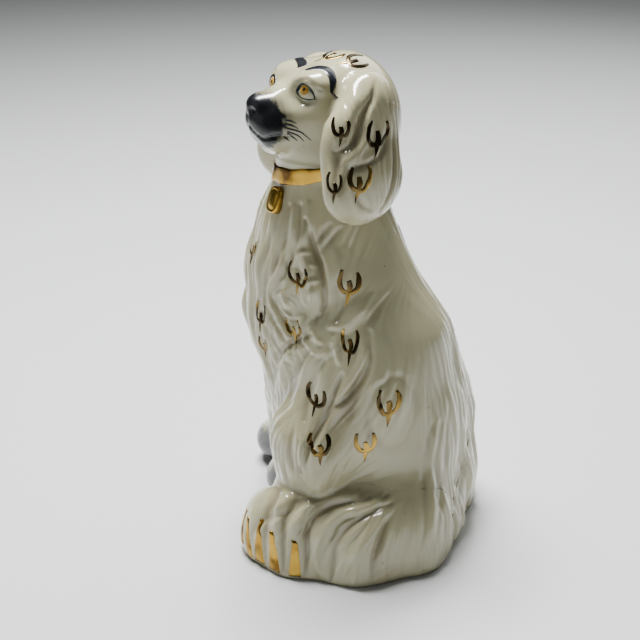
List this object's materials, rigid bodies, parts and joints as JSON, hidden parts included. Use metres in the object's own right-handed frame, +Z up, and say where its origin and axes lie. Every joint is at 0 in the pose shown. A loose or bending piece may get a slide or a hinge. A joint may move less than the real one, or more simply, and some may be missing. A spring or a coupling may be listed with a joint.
{
  "type": "seated spaniel figurine",
  "caption": "Seated glazed ceramic spaniel figurine with drop ears, painted face, gilded collar with locket and brushed gold marks, standing free on a flat closed base.",
  "frame": {"origin": "on the table plane, on the vertical line that the base mount is placed on, under the middle of the figure", "axes": "+Z up through the head, -Y the way the face looks, -X the side the forelegs stand on, +X the rump side"},
  "size_m": [0.1173, 0.1123, 0.1898],
  "materials": {
    "torso_shell": "ivory glaze, glossy, with brushed gold marks",
    "head_shell": "ivory glaze with black muzzle and painted eyes",
    "left_ear": "ivory glaze, glossy, with brushed gold marks",
    "right_ear": "ivory glaze, glossy, with brushed gold marks",
    "left_front_leg": "ivory glaze, paw sprayed grey",
    "right_front_leg": "ivory glaze, paw sprayed grey",
    "left_hind_foot": "ivory glaze with gilded claws",
    "right_hind_foot": "ivory glaze with gilded claws",
    "tail": "ivory glaze, glossy",
    "base_plate": "unglazed biscuit",
    "collar": "fired gold over glaze",
    "locket": "fired gold over glaze"
  },
  "bodies": {
    "root": {"torso_shell": "torso_shell", "head_shell": "head_shell", "left_ear": "left_ear", "right_ear": "right_ear", "left_front_leg": "left_front_leg", "right_front_leg": "right_front_leg", "left_hind_foot": "left_hind_foot", "right_hind_foot": "right_hind_foot", "tail": "tail", "base_plate": "base_plate", "collar": "collar", "locket": "locket"}
  },
  "joints": []
}
